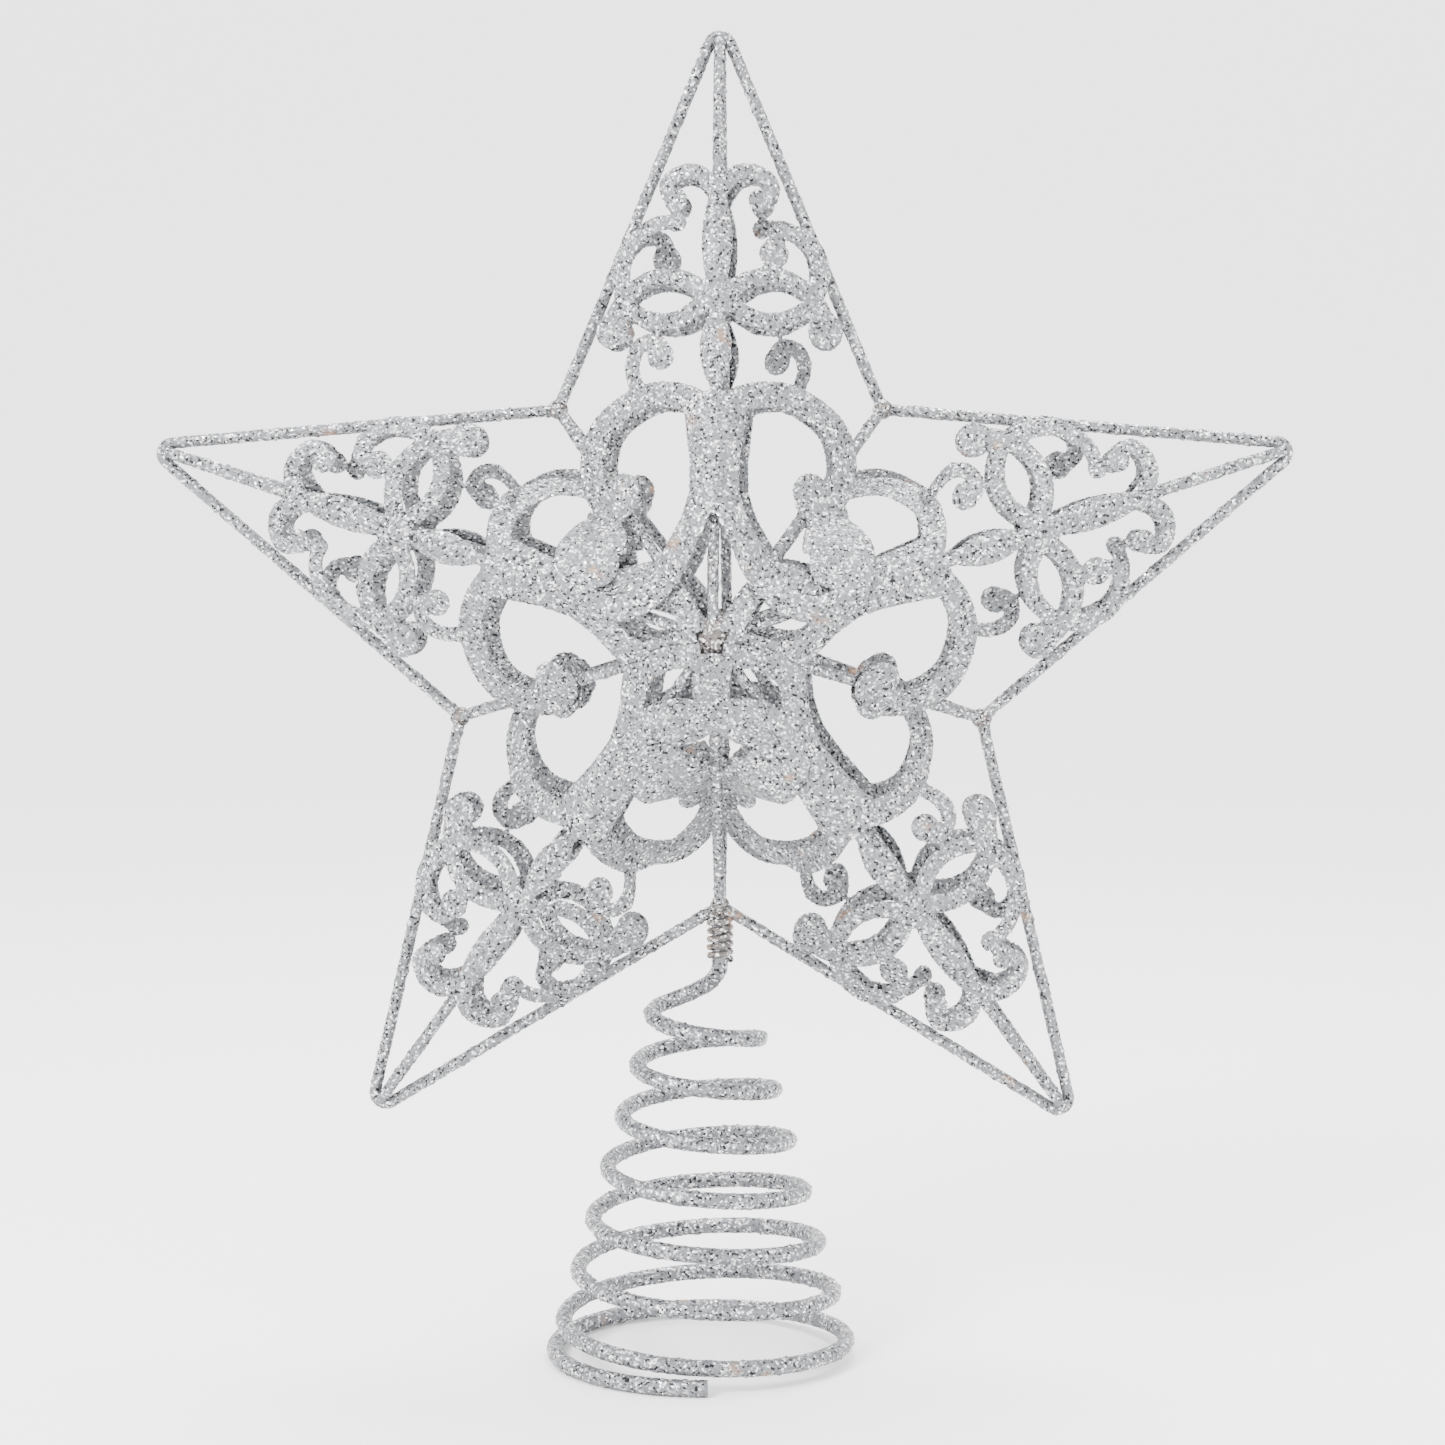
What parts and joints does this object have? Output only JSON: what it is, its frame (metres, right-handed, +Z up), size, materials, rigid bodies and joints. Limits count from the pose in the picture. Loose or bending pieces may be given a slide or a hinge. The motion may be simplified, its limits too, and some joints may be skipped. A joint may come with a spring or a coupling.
{
  "type": "star tree topper",
  "caption": "Five-point silver glittered wire star with folded scrollwork panels front and back, standing on a conical coil spring that slips over a tree tip.",
  "frame": {"origin": "on the resting surface, under the middle of the star and spring", "axes": "+Z up through the top tip, +X to the viewer's right, -Y out of the front face"},
  "size_m": [0.2272, 0.0648, 0.2663],
  "materials": {
    "glittered_wire": "silver glitter coat, rough sparkle",
    "glittered_sheet": "silver glitter coat on stamped sheet",
    "glittered_spring": "silver glitter coat, rough sparkle",
    "solder": "glitter over solder, worn in places"
  },
  "bodies": {
    "base": {"spring_end_turn": "glittered_spring"},
    "star": {"outline_wire_top": "glittered_wire", "front_ridge_rod_top": "glittered_wire", "front_valley_strut_1": "glittered_wire", "front_filigree_top": "glittered_sheet", "back_ridge_rod_top": "glittered_wire", "back_valley_strut_1": "glittered_wire", "back_filigree_top": "glittered_sheet", "corner_bead_1": "solder", "outline_wire_right": "glittered_wire", "front_ridge_rod_right": "glittered_wire", "front_valley_strut_2": "glittered_wire", "front_filigree_right": "glittered_sheet", "back_ridge_rod_right": "glittered_wire", "back_valley_strut_2": "glittered_wire", "back_filigree_right": "glittered_sheet", "corner_bead_2": "solder", "outline_wire_lower_right": "glittered_wire", "front_ridge_rod_lower_right": "glittered_wire", "front_valley_strut_3": "glittered_wire", "front_filigree_lower_right": "glittered_sheet", "back_ridge_rod_lower_right": "glittered_wire", "back_valley_strut_3": "glittered_wire", "back_filigree_lower_right": "glittered_sheet", "corner_bead_3": "solder", "outline_wire_lower_left": "glittered_wire", "front_ridge_rod_lower_left": "glittered_wire", "front_valley_strut_4": "glittered_wire", "front_filigree_lower_left": "glittered_sheet", "back_ridge_rod_lower_left": "glittered_wire", "back_valley_strut_4": "glittered_wire", "back_filigree_lower_left": "glittered_sheet", "corner_bead_4": "solder", "outline_wire_left": "glittered_wire", "front_ridge_rod_left": "glittered_wire", "front_valley_strut_5": "glittered_wire", "front_filigree_left": "glittered_sheet", "back_ridge_rod_left": "glittered_wire", "back_valley_strut_5": "glittered_wire", "back_filigree_left": "glittered_sheet", "corner_bead_5": "solder", "front_hub_bead": "solder", "back_hub_bead": "solder", "neck_sleeve": "solder", "spring_neck": "glittered_spring", "spring_coils": "glittered_spring"}
  },
  "joints": [
    {"name": "spring_press", "type": "slide", "parent": "base", "child": "star", "axis": [0, 0, -1], "range_m": [-0.01, 0.03], "stiffness_N_per_m": 1200, "deforming": ["spring_coils"]}
  ]
}
